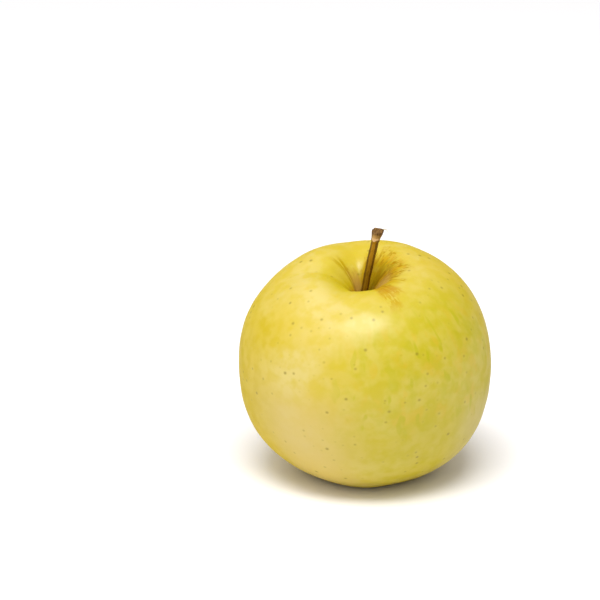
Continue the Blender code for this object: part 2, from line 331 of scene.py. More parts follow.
# The skin's ground: broad clouds from deep to pale, then small mottles, and a richer bowl. In all that
# follows a scale is lumps to the metre, and a pair of scales is lumps to the radian and to the metre.
# Tones are values of a noise between which a colour comes in, and fades are distances in metres between
# which it does. Where two more numbers follow them, they are its least and most share.
DEEP_YELLOW = (0.590, 0.448, 0.062)
PALE_YELLOW = (0.620, 0.500, 0.145)
RICH_YELLOW = (0.560, 0.420, 0.018)
BOWL_YELLOW = (0.515, 0.400, 0.004)
CLOUD_SCALE, CLOUD_TONES = 55, (0.35, 0.65)
MOTTLE_SCALE, MOTTLE_ROUGHNESS, MOTTLE_TONES = 260, 0.45, (0.36, 0.70, 0.0, 0.62)
BOWL_FADE, BOWL_FLOOR, BOWL_STRENGTH = (0.019, 0.008), (0.0, 0.006), 0.85
OUTER_FADE = (0.010, 0.028)

# Its casts: warm low on the left front, saturated on the left and the back, green on the right front and
# in the basin, and pale low on the right. The saturated one is painted yellow bounce light on the left and
# the skin's own richer tone on the back, and the pale one low on the right is a painted reflection. A reach
# is a side, as an angle round the core from the right towards the back, and the two cosines off that side
# between which the cast comes in.
WARM_CAST = (0.610, 0.460, 0.130)
WARM_REACH, WARM_FADE, WARM_STRENGTH = (math.radians(-125), 0.74, 0.93), (0.014, -0.002), 0.7
SATURATED_YELLOW = (0.535, 0.390, 0.000)
SATURATED_PALE = (0.575, 0.430, 0.022)
SATURATED_TONES, SATURATED_STRENGTH = (0.32, 0.66), 0.9
# On the left this saturated tone is painted yellow bounce light; on the back it is the skin's own richer
# tone.
LEFT_BOUNCE_REACH, LEFT_BOUNCE_FADE = (math.radians(180), 0.62, 0.94), (0.032, 0.020)
BACK_REACH, BACK_STRENGTH = (math.radians(75), 0.1, 0.8), 0.45
GREEN_RICH = (0.466, 0.392, 0.000)
GREEN_PALE = (0.508, 0.425, 0.030)
GREEN_TONES = (0.30, 0.66)
GREEN_REACH, GREEN_FADE = (math.radians(-55), 0.45, 0.97), (-0.034, -0.016, 0.4, 0.8)
BASIN_FADE, BASIN_CEILING, BASIN_STRENGTH = (0.014, 0.005), (0.0, -0.006), 0.7
# A painted pale reflection of white surroundings, low on the right rim.
PAINTED_PALE_REFLECTION = (0.580, 0.485, 0.230)
REFLECTION_REACH, REFLECTION_FADE, REFLECTION_STRENGTH = (math.radians(-12), 0.78, 0.98), (0.004, -0.008), 0.55

# Marks of the green side, drawn out up and down it: orange and green mottles, and thin green flecks.
ORANGE_YELLOW = (0.580, 0.390, 0.020)
LEAF_GREEN = (0.425, 0.385, 0.000)
BAND_BOTTOM, BAND_TOP = (-0.012, 0.004), (0.034, 0.024)
DRAWN_SCALES = (8, 150)
ORANGE_TONES, ORANGE_STRENGTH = (0.46, 0.34), 0.4
LEAF_TONES, LEAF_STRENGTH = (0.50, 0.66), 0.45
FLECK_SCALES, FLECK_TONES, FLECK_STRENGTH = (11, 110), (0.61, 0.70), 0.8


def skin_colour(tree, place, radius, way, height):
    """Yellow ground in broad clouds and small soft mottles, deeper in the bowl. The casts are laid over
    it one after another, and the marks of the green side over those. Two casts are painted light: yellow
    bounce light on the left and a pale reflection low on the right."""
    clouds = ramped(tree, noise(tree, place, CLOUD_SCALE, 3), *CLOUD_TONES)
    colour = blended(tree, clouds, DEEP_YELLOW, PALE_YELLOW)
    mottles = noise(tree, place, MOTTLE_SCALE, 2, MOTTLE_ROUGHNESS)
    colour = blended(tree, ramped(tree, mottles, *MOTTLE_TONES), colour, RICH_YELLOW)
    bowl = times(tree, ramped(tree, radius, *BOWL_FADE), ramped(tree, height, *BOWL_FLOOR))
    colour = blended(tree, times(tree, bowl, BOWL_STRENGTH), colour, BOWL_YELLOW)
    outer = ramped(tree, radius, *OUTER_FADE)
    low = ramped(tree, height, *WARM_FADE)
    warm = times(tree, facing(tree, way, *WARM_REACH), low, outer, WARM_STRENGTH)
    colour = blended(tree, warm, colour, WARM_CAST)
    # Painted yellow bounce light on the left, and the skin's own richer tone on the back.
    left = times(tree, facing(tree, way, *LEFT_BOUNCE_REACH), ramped(tree, height, *LEFT_BOUNCE_FADE))
    back = times(tree, facing(tree, way, *BACK_REACH), BACK_STRENGTH)
    bounce_and_richer = times(tree, figure(tree, "MAXIMUM", left, back), SATURATED_STRENGTH)
    tone = blended(tree, ramped(tree, mottles, *SATURATED_TONES), SATURATED_PALE, SATURATED_YELLOW)
    colour = blended(tree, bounce_and_richer, colour, tone)
    green_side = times(tree, facing(tree, way, *GREEN_REACH), outer)
    basin = times(tree, ramped(tree, radius, *BASIN_FADE), ramped(tree, height, *BASIN_CEILING))
    basin = times(tree, basin, BASIN_STRENGTH)
    green = figure(tree, "MAXIMUM", basin, times(tree, green_side, ramped(tree, height, *GREEN_FADE)))
    tone = blended(tree, ramped(tree, mottles, *GREEN_TONES), GREEN_PALE, GREEN_RICH)
    colour = blended(tree, green, colour, tone)
    # Painted pale reflection, low on the right rim.
    lower = ramped(tree, height, *REFLECTION_FADE)
    reflection = times(tree, facing(tree, way, *REFLECTION_REACH), lower, outer, REFLECTION_STRENGTH)
    colour = blended(tree, reflection, colour, PAINTED_PALE_REFLECTION)
    band = times(tree, ramped(tree, height, *BAND_BOTTOM), ramped(tree, height, *BAND_TOP))
    banded = times(tree, band, green_side)
    drawn = drawn_noise(tree, way, height, *DRAWN_SCALES)
    orange = times(tree, ramped(tree, drawn, *ORANGE_TONES), banded, ORANGE_STRENGTH)
    colour = blended(tree, orange, colour, ORANGE_YELLOW)
    leafy = times(tree, ramped(tree, drawn, *LEAF_TONES), banded, LEAF_STRENGTH)
    colour = blended(tree, leafy, colour, LEAF_GREEN)
    streaks = drawn_noise(tree, way, height, *FLECK_SCALES, 1.5)
    flecks = times(tree, ramped(tree, streaks, *FLECK_TONES), banded, FLECK_STRENGTH)
    return blended(tree, flecks, colour, LEAF_GREEN)


# The russet lies on the bowl's wall, all but its left side, and reaches farthest on the right.
RUSSET_BASE = (0.0, 0.004)
WALL_REACH, FAR_REACH = (math.radians(27), -0.37, -0.18), (math.radians(12), -0.05, 0.75)
RUSSET_RADIUS, RUSSET_FARTHER, RUSSET_UNEVEN = 0.0058, 0.0059, 0.012
PATCH_SCALES, FINE_SCALES, FINE_ROUGHNESS = (3.2, 110), (11, 60), 0.6
INNER_FADE, FLOOR_FADE = (1.25, 0.50), (0.0045, 0.003)

# Wavy broken lines run out of it, and a crease ends it on the left.
LINE_SCALES, LINE_HALF = (9, 210), 0.085
LINE_END, LINE_START = (1.25, 0.95), (0.004, 0.009, 0.2, 1.0)
GAP_SCALES, GAP_TONES = (7, 420), (0.40, 0.56, 0.1, 1.0)
CREASE_REACH, CREASE_FADE = (math.radians(132), 0.985, 0.999), (0.013, 0.009)
CREASE_TONES, CREASE_STRENGTH = (0.35, 0.55), 0.8

# A tongue spills over the lip at the front: broad and whole near it, narrow and broken farther out.
LIP_REACH, LIP_FADE = (math.radians(-59), 0.960, 0.994), (0.0190, 0.0135)
SPILL_REACH, SPILL_FADE = (math.radians(-64), 0.990, 1.0), (0.024, 0.018, 0.0, 0.65)
SPILL_TONES = (0.36, 0.50, 0.7, 1.0)
SPECK_SCALES, SPECK_TONES, SPECK_FILL = (20, 520), (0.38, 0.56), (0.0172, 0.0142, 0.0, 0.9)

# Freckles stand in a belt outside it, on the right.
FRECKLE_SCALES, FRECKLE_TONES = (16, 340), (0.50, 0.60)
FRECKLE_REACH = (math.radians(20), 0.80, 0.97)
FRECKLE_START, FRECKLE_END = (0.0070, 0.0095), (0.0150, 0.0120)


def hairline(tree, value, half):
    """1 in a thin line where the value passes a half, fading out within that distance from it."""
    off = figure(tree, "ABSOLUTE", figure(tree, "SUBTRACT", value, 0.5))
    return ramped(tree, off, half, 0.25 * half)


def russet(tree, radius, way, height):
    """The russet as five values: how deep in it the skin lies, its lines with the crease, the tongue over
    the lip, a noise from about 0.3 to 0.7 for its tones, and its freckles."""
    upper = ramped(tree, height, *RUSSET_BASE)
    wall = facing(tree, way, *WALL_REACH)
    patchy = drawn_noise(tree, way, radius, *PATCH_SCALES)
    fine = drawn_noise(tree, way, radius, *FINE_SCALES, 3, FINE_ROUGHNESS)
    reach = figure(tree, "MULTIPLY_ADD", facing(tree, way, *FAR_REACH), RUSSET_FARTHER, RUSSET_RADIUS)
    reach = figure(tree, "ADD", reach, times(tree, figure(tree, "SUBTRACT", patchy, 0.5), RUSSET_UNEVEN))
    share = figure(tree, "DIVIDE", radius, reach)
    inner = times(tree, ramped(tree, share, *INNER_FADE), wall)
    inner = times(tree, figure(tree, "MAXIMUM", inner, ramped(tree, radius, *FLOOR_FADE)), upper)
    wavy = hairline(tree, drawn_noise(tree, way, radius, *LINE_SCALES, 2.5), LINE_HALF)
    reached = times(tree, ramped(tree, share, *LINE_END), ramped(tree, radius, *LINE_START))
    broken = ramped(tree, drawn_noise(tree, way, radius, *GAP_SCALES), *GAP_TONES)
    lines = times(tree, wavy, reached, broken, wall, upper)
    crease = times(tree, facing(tree, way, *CREASE_REACH), ramped(tree, radius, *CREASE_FADE))
    crease = times(tree, crease, ramped(tree, fine, *CREASE_TONES), upper, CREASE_STRENGTH)
    lines = figure(tree, "MAXIMUM", lines, crease)
    nearer = times(tree, facing(tree, way, *LIP_REACH), ramped(tree, radius, *LIP_FADE))
    farther = times(tree, facing(tree, way, *SPILL_REACH), ramped(tree, radius, *SPILL_FADE))
    specks = ramped(tree, drawn_noise(tree, way, radius, *SPECK_SCALES), *SPECK_TONES)
    specks = figure(tree, "MAXIMUM", specks, ramped(tree, radius, *SPECK_FILL))
    spill = figure(tree, "MAXIMUM", nearer, farther)
    spill = times(tree, spill, ramped(tree, fine, *SPILL_TONES), specks, upper)
    tones = figure(tree, "ADD", times(tree, fine, 0.5), times(tree, patchy, 0.5))
    belt = times(tree, ramped(tree, radius, *FRECKLE_START), ramped(tree, radius, *FRECKLE_END))
    freckles = ramped(tree, drawn_noise(tree, way, radius, *FRECKLE_SCALES, 2.5), *FRECKLE_TONES)
    freckles = times(tree, freckles, facing(tree, way, *FRECKLE_REACH), belt)
    return inner, lines, spill, tones, times(tree, freckles, upper)


def dots(tree, place, spacing, size):
    """Spots at scattered points in space, as far as the skin meets them, and their wider halos. Each spot
    draws its own size, from two fifths to all of the largest, and its own strength."""
    cells = node(tree, "TexVoronoi", {"Vector": place, "Scale": 1 / spacing})
    chance = node(tree, "SeparateXYZ", {0: cells.outputs["Color"]}).outputs["X"]
    limit = figure(tree, "MULTIPLY_ADD", chance, 0.6 * size / spacing, 0.4 * size / spacing)
    share = figure(tree, "DIVIDE", cells.outputs["Distance"], limit)
    strength = ramped(tree, chance, 0.1, 1.0, 0.1, 1.0)
    return times(tree, ramped(tree, share, 1.0, 0.0), strength), ramped(tree, share, 2.4, 1.0)


# The russet's colours, with an olive part at the back of the bowl, darkened there by the stalk's painted
# shadow, and a pink one to each side of it, and the dots of the whole skin.
RUSSET_DEEP = (0.260, 0.130, 0.000)
RUSSET_TAN = (0.470, 0.260, 0.006)
RUSSET_LINE = (0.260, 0.110, 0.000)
RUSSET_SPILL = (0.410, 0.190, 0.000)
RUSSET_ORANGE = (0.500, 0.250, 0.000)
RUSSET_OLIVE_SHADED = (0.270, 0.180, 0.000)
RUSSET_PINK = (0.430, 0.250, 0.055)
TAN_TONES = (0.42, 0.56)
# The olive part is painted shadow of the stalk, on the back wall of the bowl to the right of it.
STALK_SHADE_REACH, STALK_SHADE_FADE, STALK_SHADE_STRENGTH = (math.radians(56), 0.78, 0.97), (0.0105, 0.0080), 0.65
PINK_REACHES = (math.radians(-14), 0.88, 0.97), (math.radians(116), 0.88, 0.97)
PINK_FADE, PINK_STRENGTH = (0.0095, 0.0075), 0.85
SPILL_STRENGTH, INNER_STRENGTH, FRECKLE_STRENGTH, LINE_STRENGTH = 0.9, 0.9, 0.6, 0.6
DOT_OLIVE = (0.220, 0.155, 0.008)
HALO_PALE = (0.620, 0.510, 0.110)
DOT_SPACING, DOT_SIZE, DOT_STRENGTH, HALO_STRENGTH = 0.0029, 0.00086, 0.75, 0.08

# Its surface: how rough the wax is and how much rougher the russet, the height of the pores, and how much
# clear bloom there is, by russet and by how steeply the skin is seen.
WAX_ROUGHNESS, RUSSET_ROUGHER = 0.48, 0.3
PORE_SCALE, PORE_HEIGHT, DOT_RELIEF, RUSSET_RELIEF = 900, 0.00008, 0.5, 3.0
BLOOM_BY_RUSSET, BLOOM_BY_RIM = (0.0, 0.7, 0.70, 0.02), (0.80, 0.35)


def make_skin_material():
    """Waxy skin: satin, with a thin clear bloom that dulls where it is russeted and fades towards the
    fruit's rim, where the photographed skin mirrors nothing bright."""
    material = bpy.data.materials.new("skin")
    material.use_nodes = True
    tree = material.node_tree
    shader = tree.nodes["Principled BSDF"]
    place, radius, way, height = compass(tree)
    colour = skin_colour(tree, place, radius, way, height)
    inner, lines, spill, tones, freckles = russet(tree, radius, way, height)
    tan = blended(tree, ramped(tree, tones, *TAN_TONES), RUSSET_DEEP, RUSSET_TAN)
    # Painted shadow of the stalk: a darker olive over the russet to the right of it.
    stalk_shade = times(tree, facing(tree, way, *STALK_SHADE_REACH), ramped(tree, radius, *STALK_SHADE_FADE), STALK_SHADE_STRENGTH)
    tan = blended(tree, stalk_shade, tan, RUSSET_OLIVE_SHADED)
    pink = figure(tree, "MAXIMUM", *[facing(tree, way, *reach) for reach in PINK_REACHES])
    pink = times(tree, pink, ramped(tree, radius, *PINK_FADE), PINK_STRENGTH)
    tan = blended(tree, pink, tan, RUSSET_PINK)
    colour = blended(tree, times(tree, spill, SPILL_STRENGTH), colour, RUSSET_SPILL)
    colour = blended(tree, times(tree, inner, INNER_STRENGTH), colour, tan)
    colour = blended(tree, times(tree, freckles, FRECKLE_STRENGTH), colour, RUSSET_ORANGE)
    colour = blended(tree, times(tree, lines, LINE_STRENGTH), colour, RUSSET_LINE)
    spots, halos = dots(tree, place, DOT_SPACING, DOT_SIZE)
    colour = blended(tree, times(tree, halos, HALO_STRENGTH), colour, HALO_PALE)
    colour = blended(tree, times(tree, spots, DOT_STRENGTH), colour, DOT_OLIVE)
    tree.links.new(colour, shader.inputs["Base Color"])
    rough = figure(tree, "MULTIPLY_ADD", inner, RUSSET_ROUGHER, WAX_ROUGHNESS)
    tree.links.new(rough, shader.inputs["Roughness"])
    relief = figure(tree, "ADD", noise(tree, place, PORE_SCALE, 3), times(tree, spots, DOT_RELIEF))
    relief = figure(tree, "ADD", relief, times(tree, inner, tones, RUSSET_RELIEF))
    bump = node(tree, "Bump", {"Height": relief, "Strength": 0.35, "Distance": PORE_HEIGHT})
    tree.links.new(bump.outputs[0], shader.inputs["Normal"])
    shader.inputs["Specular IOR Level"].default_value = 0.04
    shader.inputs["Subsurface Weight"].default_value = 0.10
    shader.inputs["Subsurface Radius"].default_value = (1.0, 0.6, 0.15)
    shader.inputs["Subsurface Scale"].default_value = 0.004
    dulled = figure(tree, "MAXIMUM", inner, figure(tree, "MAXIMUM", lines, spill))
    rim = node(tree, "LayerWeight", {"Blend": 0.5}).outputs["Facing"]
    coat = times(tree, ramped(tree, dulled, *BLOOM_BY_RUSSET), ramped(tree, rim, *BLOOM_BY_RIM))
    tree.links.new(coat, shader.inputs["Coat Weight"])
    shader.inputs["Coat Roughness"].default_value = 0.32
    return material


skin = closed_surfaces(
    "apple_skin", stood(leaned)[None], stalk_pole_stood[None], eye_pole_stood[None], make_skin_material()
)
keep_attribute(skin, "upright", pole_to_pole(stalk_pole, upright, eye_pole))
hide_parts("fruit")
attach(skin, "root")


# The stalk.
# A woody stem 30.5 mm long, in thin bark that is ridged lengthwise. It grows out of the bottom of the bowl,
# tilts to the right with a slight bend, and ends in a flared knob, torn where it left the tree.
STALK_ROOT, STALK_RISE = 0.0040, 0.0265
STALK_LENGTH = STALK_ROOT + STALK_RISE
STALK_ROOT_SIDE, STALK_TIP, STALK_BEND = -0.0014, (0.0050, 0.0010), (-0.0003, 0.0004)
STALK_RADIUS, STALK_SWELL, ROOT_SHARE = 0.00097, 0.00012, 0.25
KNOB_RADIUS, KNOB_LENGTH, KNOB_POWER = 0.00168, 0.0033, 1.5
COLLAR, GROOVE_DEPTH, GROOVE_WIDTH = 0.00017, 0.00005, 0.00035
STALK_RINGS, STALK_AROUND = 170, 72
# The three main ridges: their height as a share of the radius, the side of the first, how far they twist
# along the stalk, and where along it the twist is nought. Their side also sets where the bark's painted
# shade lies, in the grooves at the stalk's left and right sides.
MAIN_RIDGE, RIDGE_TURN, RIDGE_TWIST, RIDGE_ZERO = 0.060, math.radians(-98), 0.5 * math.pi, 0.6
# Finer ridges: how many round it, their height, their turn along the whole stalk and their start.
FINE_RIDGES = ((5, 0.025, -2.6, 0.0), (9, 0.022, 5.0, 1.0), (14, 0.014, -4.0, 0.0))
# Knots: how fast they follow each other along it, their height, and how far and where they wander.
KNOTS = ((31, 0.030, 2, 0.0), (74, 0.018, 3, math.pi / 2))


def stalk_line(share):
    """The middle of the stalk: a slanted line with a half sine bow, leaned with the fruit."""
    _, bowl_floor = turned(np.array([math.pi / 2]))
    bow = np.sin(math.pi * share)
    x = STALK_ROOT_SIDE * (1 - share) + STALK_TIP[0] * share + STALK_BEND[0] * bow
    y = STALK_TIP[1] * share + STALK_BEND[1] * bow
    z = bowl_floor[0] - STALK_ROOT + STALK_LENGTH * share
    return leaning(x, y, z) + CORE


def carried(path, side, front):
    """Rings along a path: each point stands off the path by its side and front measures, which are laid
    along two directions square to the path."""
    along = np.gradient(path, axis=-2)
    along /= np.linalg.norm(along, axis=-1, keepdims=True)
    first = np.cross(np.array([0.0, 1.0, 0.0]), along)
    first /= np.linalg.norm(first, axis=-1, keepdims=True)
    second = np.cross(along, first)
    off = side[..., None] * first[..., None, :] + front[..., None] * second[..., None, :]
    return path[..., None, :] + off, along


def main_ridges(share, angle):
    """Three ridges round the stalk, turning slowly along it: a cosine of three times the angle."""
    return np.cos(3 * (angle - RIDGE_TURN) + RIDGE_TWIST * (share - RIDGE_ZERO))


def stalk_radius(share, angle):
    """A slim rod, a little thicker at both ends, with a flare over the last few millimetres, a low collar
    where the flare starts and a shallow groove under it. Sums of cosines round it, slowly turning along
    it, are the ridges of the bark, and sines along it, wandering round it, are its knots."""
    left = (1 - share) * STALK_LENGTH
    root = np.clip(1 - share / ROOT_SHARE, 0, 1) ** 2
    radius = STALK_RADIUS + STALK_SWELL * (root + share)
    radius = radius + COLLAR * eased(1 + (KNOB_LENGTH - left) / GROOVE_WIDTH)
    flare = KNOB_RADIUS - COLLAR - STALK_RADIUS - STALK_SWELL
    radius = radius + flare * eased(1 - left / KNOB_LENGTH) ** KNOB_POWER
    radius = radius - GROOVE_DEPTH * bell(left - KNOB_LENGTH - 2 * GROOVE_WIDTH, GROOVE_WIDTH)
    uneven = 1 + MAIN_RIDGE * main_ridges(share, angle)
    for count, height, turning, start in FINE_RIDGES:
        uneven = uneven + height * np.cos(count * angle + turning * share + start)
    for pace, height, wander, side in KNOTS:
        uneven = uneven + height * np.sin(pace * share + wander * np.cos(angle - side))
    return radius * uneven


share, angle = np.meshgrid(
    np.linspace(1, 0, STALK_RINGS), np.arange(STALK_AROUND) * math.tau / STALK_AROUND, indexing="ij"
)
thick = stalk_radius(share, angle)
stalk_rings, stalk_way = carried(stalk_line(share[:, 0]), -thick * np.cos(angle), thick * np.sin(angle))

# The torn end: rings that shrink towards the middle, dished, with a tilted and ragged edge.
TORN_RINGS, TORN_DISH, TORN_TEETH, TORN_GRAIN = 16, 0.00045, 0.00006, 0.00005
CUT_TILT, CUT_SHARE = 0.00035, 0.05
inward = np.linspace(0.06, 0.97, TORN_RINGS)[:, None]
turn = angle[:1]
tip, tip_way = stalk_line(np.array([1.0]))[0], -stalk_way[0]
ragged = CUT_TILT * np.cos(turn) + TORN_TEETH * (np.sin(3 * turn + 1) + np.sin(7 * turn))
sunk = -TORN_DISH * (1 - inward**2) + ragged * inward**3 + TORN_GRAIN * np.sin(40 * inward + 5 * turn)
torn = tip + (stalk_rings[:1] - tip) * inward[..., None] + sunk[..., None] * tip_way
stalk_rings = stalk_rings + (ragged * eased((share - 1 + CUT_SHARE) / CUT_SHARE))[..., None] * tip_way

# Where each point lies in the wood, as if the stalk were straight, and how high its main ridges are.
torn_shape = (TORN_RINGS, STALK_AROUND)
along = np.concatenate([np.full(torn_shape, STALK_LENGTH), share * STALK_LENGTH])
spread = np.concatenate([np.repeat(inward, STALK_AROUND, axis=1), np.ones_like(share)]) * KNOB_RADIUS
grain_place = np.stack([spread * np.cos(turn), spread * np.sin(turn), along], axis=-1)
ridge_height = np.concatenate([np.zeros(torn_shape), main_ridges(share, angle)])


def dry_fibres():
    """A shader group for dry plant fibres: light and dark threads drawn out along the third direction.
    It puts out the threads as a value for colour and a finer one for relief."""
    group = bpy.data.node_groups.new("dry_fibres", "ShaderNodeTree")
    group.interface.new_socket("Vector", in_out="INPUT", socket_type="NodeSocketVector")
    group.interface.new_socket("Across", in_out="INPUT", socket_type="NodeSocketFloat")
    group.interface.new_socket("Along", in_out="INPUT", socket_type="NodeSocketFloat")
    group.interface.new_socket("Threads", in_out="OUTPUT", socket_type="NodeSocketFloat")
    group.interface.new_socket("Relief", in_out="OUTPUT", socket_type="NodeSocketFloat")
    given = group.nodes.new("NodeGroupInput").outputs
    put_out = group.nodes.new("NodeGroupOutput").inputs
    across, along = given["Across"], given["Along"]
    factors = node(group, "CombineXYZ", {"X": across, "Y": across, "Z": along}).outputs[0]
    drawn = vector_sum(group, "MULTIPLY", given["Vector"], factors)
    group.links.new(noise(group, drawn, 1.0, 3, 0.6), put_out["Threads"])
    group.links.new(noise(group, drawn, 2.7, 3, 0.7), put_out["Relief"])
    return group


DRY_FIBRES = dry_fibres()


def fibres(tree, place, across, along):
    """The dry fibres group placed in a material, with its own threads to the metre."""
    made = tree.nodes.new("ShaderNodeGroup")
    made.node_tree = DRY_FIBRES
    tree.links.new(place, made.inputs["Vector"])
    made.inputs["Across"].default_value = across
    made.inputs["Along"].default_value = along
    return made.outputs["Threads"], made.outputs["Relief"]


# The bark turns orange over a stretch of its height. Its patches shift the edges of all its colours.
BARK_OLIVE = (0.270, 0.145, 0.000)
BARK_ORANGE = (0.400, 0.190, 0.001)
BARK_PALE = (0.300, 0.180, 0.030)
# The dark bark colour is painted shade, laid in the grooves between the main ridges.
BARK_GROOVE_SHADE = (0.120, 0.055, 0.000)
BARK_FIBRES, PALE_THREADS, THREAD_WEIGHT = (2600, 260), (0.50, 0.75, 0.0, 0.6), 3.0
ORANGE_RISE, GROOVE_SHADE_RIDGES = (0.015, 0.025), (0.5, -0.5, 0.0, 0.85)
BARK_PATCHES, PATCH_SHIFT, EDGE_SHIFT, DRIED_SHIFT = 700, 0.008, 0.16, 0.2
# The bark overlaps the knob's lower end. Above its edge come a pale ring on one side, bare tan wood, and
# the torn end, which has dried dark over its last 1.5 mm. The pale ring is torn bark with a painted
# highlight on the front, and the wood has painted shade in its grooves.
KNOB_TAN = (0.540, 0.315, 0.100)
KNOB_GROOVE_SHADE = (0.180, 0.090, 0.004)
KNOB_DARK = (0.055, 0.015, 0.000)
RING_CREAM_HIGHLIGHT = (0.720, 0.460, 0.220)
BARK_OVERLAP, EDGE_BLUR = 0.0005, 0.0001
KNOB_SHADE_RIDGES = (0.7, -0.6, 0.0, 0.65)
# The ring is pale torn bark with a painted highlight, so it is laid on the front side only.
RING_HIGHLIGHT_REACH, RING_TOP, RING_WHOLE = (math.radians(-106), 0.35, 0.85), 0.0011, 0.0005
DRIED_START, DRIED_WHOLE, DRIED_STRENGTH, DRIED_THREADS = 0.0015, 0.0004, 0.9, (0.42, 0.60, 1.0, 0.55)


def make_bark_material():
    """Olive bark, orange towards the top, with painted shade between its ridges, then a ring of pale torn
    bark with a painted highlight on its front, and the bare tan wood of the knob, with painted shade in its
    grooves, whose torn end has dried dark."""
    material = bpy.data.materials.new("bark")
    material.use_nodes = True
    tree = material.node_tree
    shader = tree.nodes["Principled BSDF"]
    place = node(tree, "Attribute", {}, attribute_name="grain").outputs["Vector"]
    ridge = node(tree, "Attribute", {}, attribute_name="ridges").outputs["Fac"]
    threads, relief = fibres(tree, place, *BARK_FIBRES)
    height = node(tree, "SeparateXYZ", {0: place}).outputs["Z"]
    patches = figure(tree, "SUBTRACT", noise(tree, place, BARK_PATCHES, 2), 0.5)
    patches = times(tree, patches, PATCH_SHIFT)
    blurred = figure(tree, "ADD", height, patches)
    colour = blended(tree, ramped(tree, blurred, *ORANGE_RISE), BARK_OLIVE, BARK_ORANGE)
    colour = blended(tree, ramped(tree, threads, *PALE_THREADS), colour, BARK_PALE)
    uneven = times(tree, figure(tree, "SUBTRACT", threads, 0.5), THREAD_WEIGHT)
    shaded = figure(tree, "ADD", ridge, uneven)
    # Painted shade in the grooves between the ridges, broken up by the threads.
    colour = blended(tree, ramped(tree, shaded, *GROOVE_SHADE_RIDGES), colour, BARK_GROOVE_SHADE)
    knob = STALK_LENGTH - KNOB_LENGTH + BARK_OVERLAP
    edge = figure(tree, "ADD", height, times(tree, patches, EDGE_SHIFT))
    bare = ramped(tree, edge, knob - EDGE_BLUR, knob + EDGE_BLUR)
    # Painted shade in the grooves of the knob's wood.
    wood = blended(tree, ramped(tree, shaded, *KNOB_SHADE_RIDGES), KNOB_TAN, KNOB_GROOVE_SHADE)
    colour = blended(tree, bare, colour, wood)
    way = vector_sum(tree, "NORMALIZE", vector_sum(tree, "MULTIPLY", place, (1, 1, 0)))
    # A pale ring of torn bark with a painted highlight, on the front side only.
    ring = ramped(tree, edge, knob + RING_TOP, knob + RING_WHOLE)
    ring = times(tree, bare, ring, facing(tree, way, *RING_HIGHLIGHT_REACH))
    colour = blended(tree, ring, colour, RING_CREAM_HIGHLIGHT)
    dried = figure(tree, "ADD", height, times(tree, patches, DRIED_SHIFT))
    dried_to = STALK_LENGTH - DRIED_START, STALK_LENGTH - DRIED_WHOLE, 0.0, DRIED_STRENGTH
    dried = times(tree, ramped(tree, dried, *dried_to), ramped(tree, threads, *DRIED_THREADS))
    colour = blended(tree, dried, colour, KNOB_DARK)
    tree.links.new(colour, shader.inputs["Base Color"])
    tree.links.new(ramped(tree, threads, 0.3, 0.7, 0.50, 0.75), shader.inputs["Roughness"])
    shader.inputs["Specular IOR Level"].default_value = 0.18
    bump = node(tree, "Bump", {"Height": relief, "Strength": 0.6, "Distance": 0.00012})
    tree.links.new(bump.outputs[0], shader.inputs["Normal"])
    return material


stalk = closed_surfaces(
    "apple_stalk",
    np.concatenate([torn, stalk_rings])[None],
    (tip - TORN_DISH * tip_way)[None],
    stalk_line(np.array([0.0])),
    make_bark_material(),
)
keep_attribute(stalk, "grain", pole_to_pole((0, 0, STALK_LENGTH), grain_place, (0, 0, 0)))
# The ridge heights go with it, for the painted shade in the bark's grooves.
keep_attribute(stalk, "ridges", pole_to_pole((0, 0, 0), np.repeat(ridge_height[..., None], 3, -1), (0, 0, 0)))
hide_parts("stalk")
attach(stalk, "root")


# The loose thread.
# A shred of pale bark 1.6 mm long, still held at the knob's right edge. It rises a little, curls over and
# thins to its end.
THREAD_START, THREAD_REACH, THREAD_RADIUS, THREAD_THINNING = 0.00150, 0.0016, 0.00014, 0.75
THREAD_LIFT, THREAD_RISE, THREAD_CURL, THREAD_SWAY = 0.0002, 0.0012, 0.0021, 0.0004
THREAD_STRAW = (0.520, 0.410, 0.090)

step = np.linspace(0, 1, 24)
thread_path = tip + np.stack(
    [
        THREAD_START + THREAD_REACH * step,
        THREAD_SWAY * np.sin(3 * step),
        THREAD_LIFT + THREAD_RISE * step - THREAD_CURL * step**2,
    ],
    axis=-1,
)
turn = np.arange(8) * math.tau / 8
slim = THREAD_RADIUS * (1 - THREAD_THINNING * step)[:, None]
thread_rings, _ = carried(thread_path[::-1], -slim[::-1] * np.cos(turn), slim[::-1] * np.sin(turn))
straw = bpy.data.materials.new("straw")
straw.use_nodes = True
straw_shader = straw.node_tree.nodes["Principled BSDF"]
straw_place = node(straw.node_tree, "TexCoord", {}).outputs["Object"]
straw_tone = blended(straw.node_tree, noise(straw.node_tree, straw_place, 3000, 2), BARK_PALE, THREAD_STRAW)
straw.node_tree.links.new(straw_tone, straw_shader.inputs["Base Color"])
straw_shader.inputs["Roughness"].default_value = 0.6
thread = closed_surfaces("stalk_thread", thread_rings[None], thread_path[-1:], thread_path[:1], straw)
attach(thread, "root")


